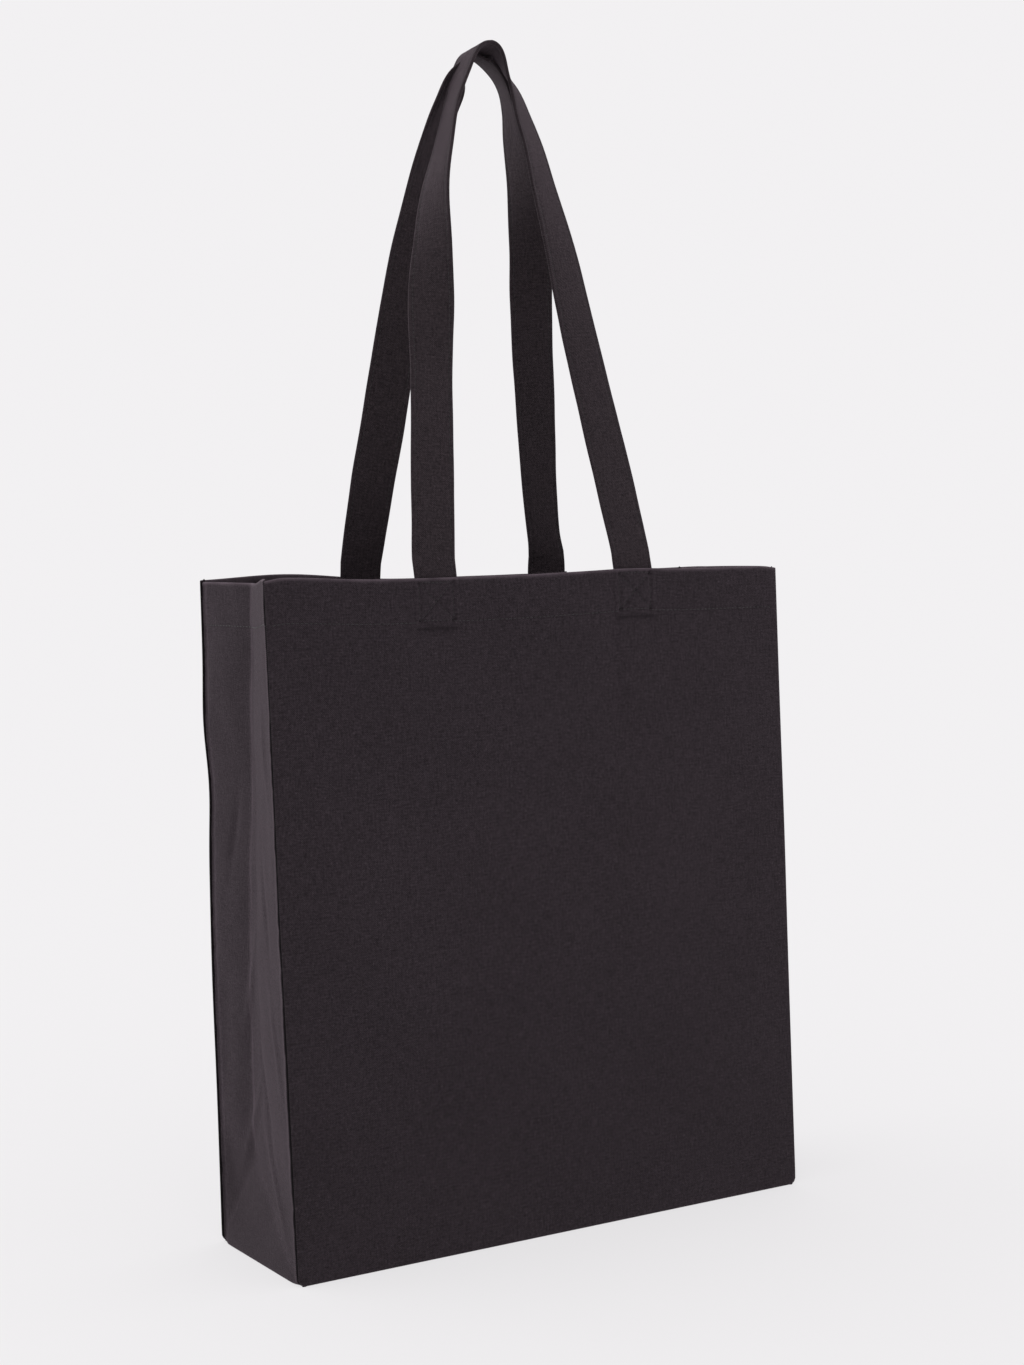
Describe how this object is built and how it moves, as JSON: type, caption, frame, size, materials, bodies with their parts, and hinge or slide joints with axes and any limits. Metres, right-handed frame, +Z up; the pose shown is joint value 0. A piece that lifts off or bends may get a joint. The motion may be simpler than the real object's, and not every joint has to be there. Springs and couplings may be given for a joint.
{
  "type": "canvas tote bag",
  "caption": "Open-topped canvas tote bag with side gussets, a flat base, a turned hem and long sewn carrying handles; it folds flat and the handles swing down.",
  "frame": {"origin": "on the floor under the middle of the base", "axes": "+Z up, +Y from the front face to the back, +X along the bag"},
  "size_m": [0.38, 0.1206, 0.7889],
  "materials": {
    "canvas": "matte plain-weave cotton canvas",
    "strap": "matte folded canvas strap",
    "thread": "matte sewing thread",
    "overlock": "matte overlocked seam edge"
  },
  "bodies": {
    "bag": {"back_base_seam_binding": "overlock", "base_panel": "canvas", "front_base_seam_binding": "overlock", "front_hem": "canvas", "front_hem_stitches": "thread", "front_left_box_stitches": "thread", "front_left_seam_binding": "overlock", "front_left_strap_end": "strap", "front_panel": "canvas", "front_right_box_stitches": "thread", "front_right_seam_binding": "overlock", "front_right_strap_end": "strap", "left_gusset": "canvas", "left_hem": "canvas", "left_hem_stitches": "thread", "right_gusset": "canvas", "right_hem": "canvas", "right_hem_stitches": "thread"},
    "back": {"back_panel": "canvas", "back_hem": "canvas", "back_hem_stitches": "thread", "back_left_seam_binding": "overlock", "back_right_seam_binding": "overlock", "back_left_strap_end": "strap", "back_right_strap_end": "strap", "back_left_box_stitches": "thread", "back_right_box_stitches": "thread"},
    "front_roots": {"front_handle_roots": "strap"},
    "back_roots": {"back_handle_roots": "strap"},
    "front_loop": {"front_handle": "strap", "front_handle_stitches": "thread"},
    "back_loop": {"back_handle": "strap", "back_handle_stitches": "thread"}
  },
  "joints": [
    {"name": "fold_flat", "type": "slide", "parent": "bag", "child": "back", "axis": [0, -1, 0], "range_m": [0, 0.108], "deforming": ["left_gusset", "right_gusset", "base_panel", "left_hem", "right_hem", "left_hem_stitches", "right_hem_stitches", "front_base_seam_binding", "back_base_seam_binding", "front_left_seam_binding", "front_right_seam_binding"]},
    {"name": "front_lean", "type": "hinge", "parent": "bag", "child": "front_roots", "pos_m": [0, -0.057, 0.4363], "axis": [1, 0, 0], "range_deg": [0, 12.2]},
    {"name": "back_lean", "type": "hinge", "parent": "back", "child": "back_roots", "pos_m": [0, 0.057, 0.4363], "axis": [-1, 0, 0], "range_deg": [0, 12.2]},
    {"name": "front_swing", "type": "hinge", "parent": "front_roots", "child": "front_loop", "pos_m": [0, -0.05649, 0.44835], "axis": [1, 0, 0], "range_deg": [0, 160]},
    {"name": "back_swing", "type": "hinge", "parent": "back_roots", "child": "back_loop", "pos_m": [0, 0.05649, 0.44835], "axis": [-1, 0, 0], "range_deg": [0, 160]}
  ],
  "couplings": [
    {"joint": "front_lean", "follows": "fold_flat", "rad_per_m": 1.9586},
    {"joint": "back_lean", "follows": "fold_flat", "rad_per_m": 1.9586}
  ]
}
